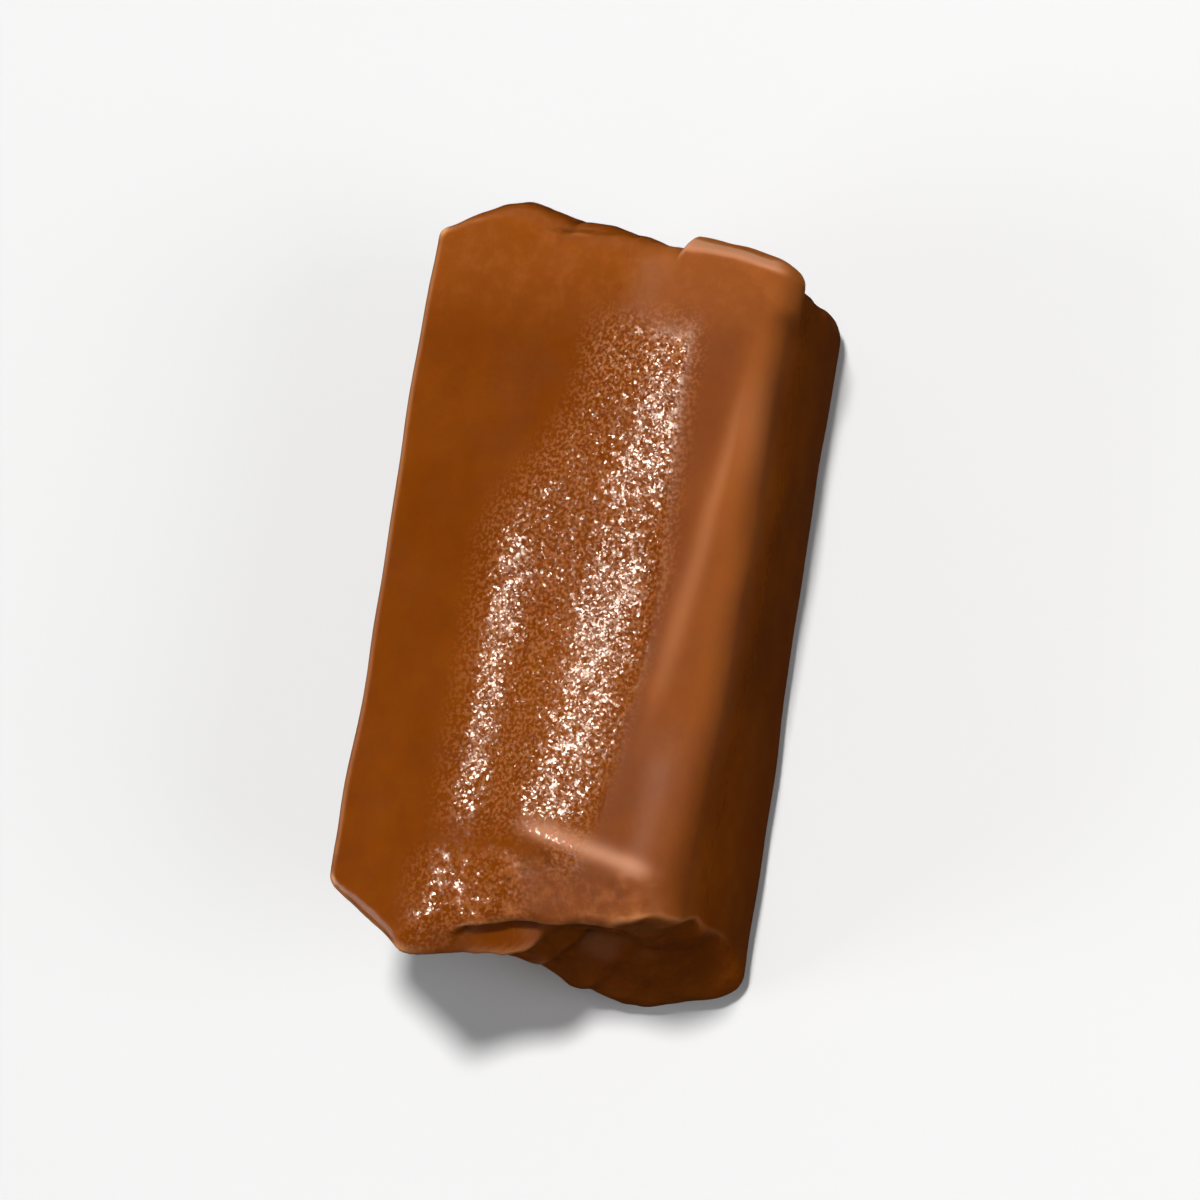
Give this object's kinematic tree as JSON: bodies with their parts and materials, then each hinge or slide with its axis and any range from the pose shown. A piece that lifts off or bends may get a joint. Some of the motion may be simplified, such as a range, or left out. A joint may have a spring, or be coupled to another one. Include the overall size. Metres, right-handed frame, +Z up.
{
  "type": "butter caramel",
  "caption": "Soft butter caramel: a rounded bar with a low ridged top and folded ends, resting on its flat base.",
  "frame": {"origin": "middle of the bounding box's lower side, on the surface that the caramel rests on", "axes": "+X along the bar towards the end with the flap folded over the top, -Y towards the long side with the soft upper edge, +Z up"},
  "size_m": [0.0426, 0.0216, 0.0149],
  "materials": {
    "caramel": "satin"
  },
  "bodies": {
    "root": {"caramel": "caramel"}
  },
  "joints": []
}
